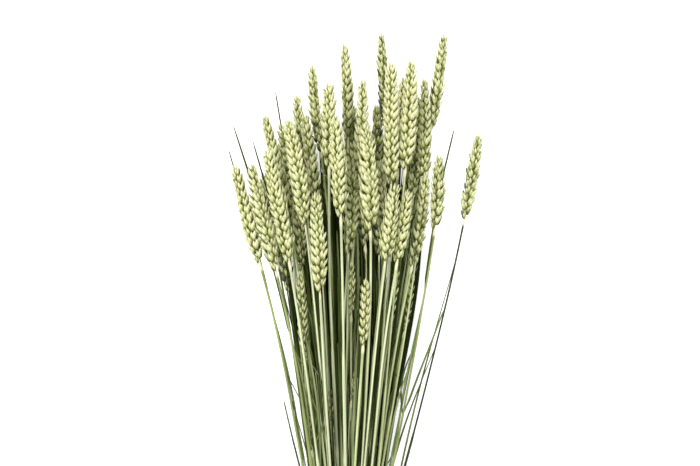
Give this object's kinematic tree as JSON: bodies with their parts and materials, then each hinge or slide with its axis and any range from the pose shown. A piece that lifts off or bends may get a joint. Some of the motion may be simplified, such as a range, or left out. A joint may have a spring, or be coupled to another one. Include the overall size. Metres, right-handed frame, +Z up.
{
  "type": "bunch of wheat ears",
  "caption": "Bunch of unripe wheat ears without awns on long stems with a few leaf blades, tied with twine near the cut ends and lying down, as dried decoration.",
  "frame": {"origin": "middle of the bunch's box, on the surface that it lies on", "axes": "+Y along the stems from the cut ends to the ears, +Z up from the surface, +X to the right as seen from above"},
  "size_m": [0.2532, 0.678, 0.1073],
  "materials": {
    "wheat_green": "dry, matt to satin, pale yellow-green",
    "jute_twine": "twisted natural fibre, matt"
  },
  "bodies": {
    "root": {"stalk_01": "wheat_green", "stalk_02": "wheat_green", "stalk_03": "wheat_green", "stalk_04": "wheat_green", "stalk_05": "wheat_green", "stalk_06": "wheat_green", "stalk_07": "wheat_green", "stalk_08": "wheat_green", "stalk_09": "wheat_green", "stalk_10": "wheat_green", "stalk_11": "wheat_green", "stalk_12": "wheat_green", "stalk_13": "wheat_green", "stalk_14": "wheat_green", "stalk_15": "wheat_green", "stalk_16": "wheat_green", "stalk_17": "wheat_green", "stalk_18": "wheat_green", "stalk_19": "wheat_green", "stalk_20": "wheat_green", "stalk_21": "wheat_green", "stalk_22": "wheat_green", "stalk_23": "wheat_green", "stalk_24": "wheat_green", "stalk_25": "wheat_green", "stalk_26": "wheat_green", "stalk_27": "wheat_green", "stalk_28": "wheat_green", "stalk_29": "wheat_green", "stalk_30": "wheat_green", "stalk_31": "wheat_green", "stalk_32": "wheat_green", "stalk_33": "wheat_green", "stalk_34": "wheat_green", "stalk_35": "wheat_green", "stalk_36": "wheat_green", "stalk_37": "wheat_green", "stalk_38": "wheat_green", "stalk_39": "wheat_green", "stalk_40": "wheat_green", "stalk_41": "wheat_green", "stalk_42": "wheat_green", "stalk_43": "wheat_green", "stalk_44": "wheat_green", "stalk_45": "wheat_green", "stalk_46": "wheat_green", "stalk_47": "wheat_green", "stalk_48": "wheat_green", "stalk_49": "wheat_green", "stalk_50": "wheat_green", "stalk_51": "wheat_green", "stalk_52": "wheat_green", "stalk_53": "wheat_green", "stalk_54": "wheat_green", "stalk_55": "wheat_green", "stalk_56": "wheat_green", "stalk_57": "wheat_green", "stalk_58": "wheat_green", "stalk_59": "wheat_green", "tie": "jute_twine"}
  },
  "joints": []
}
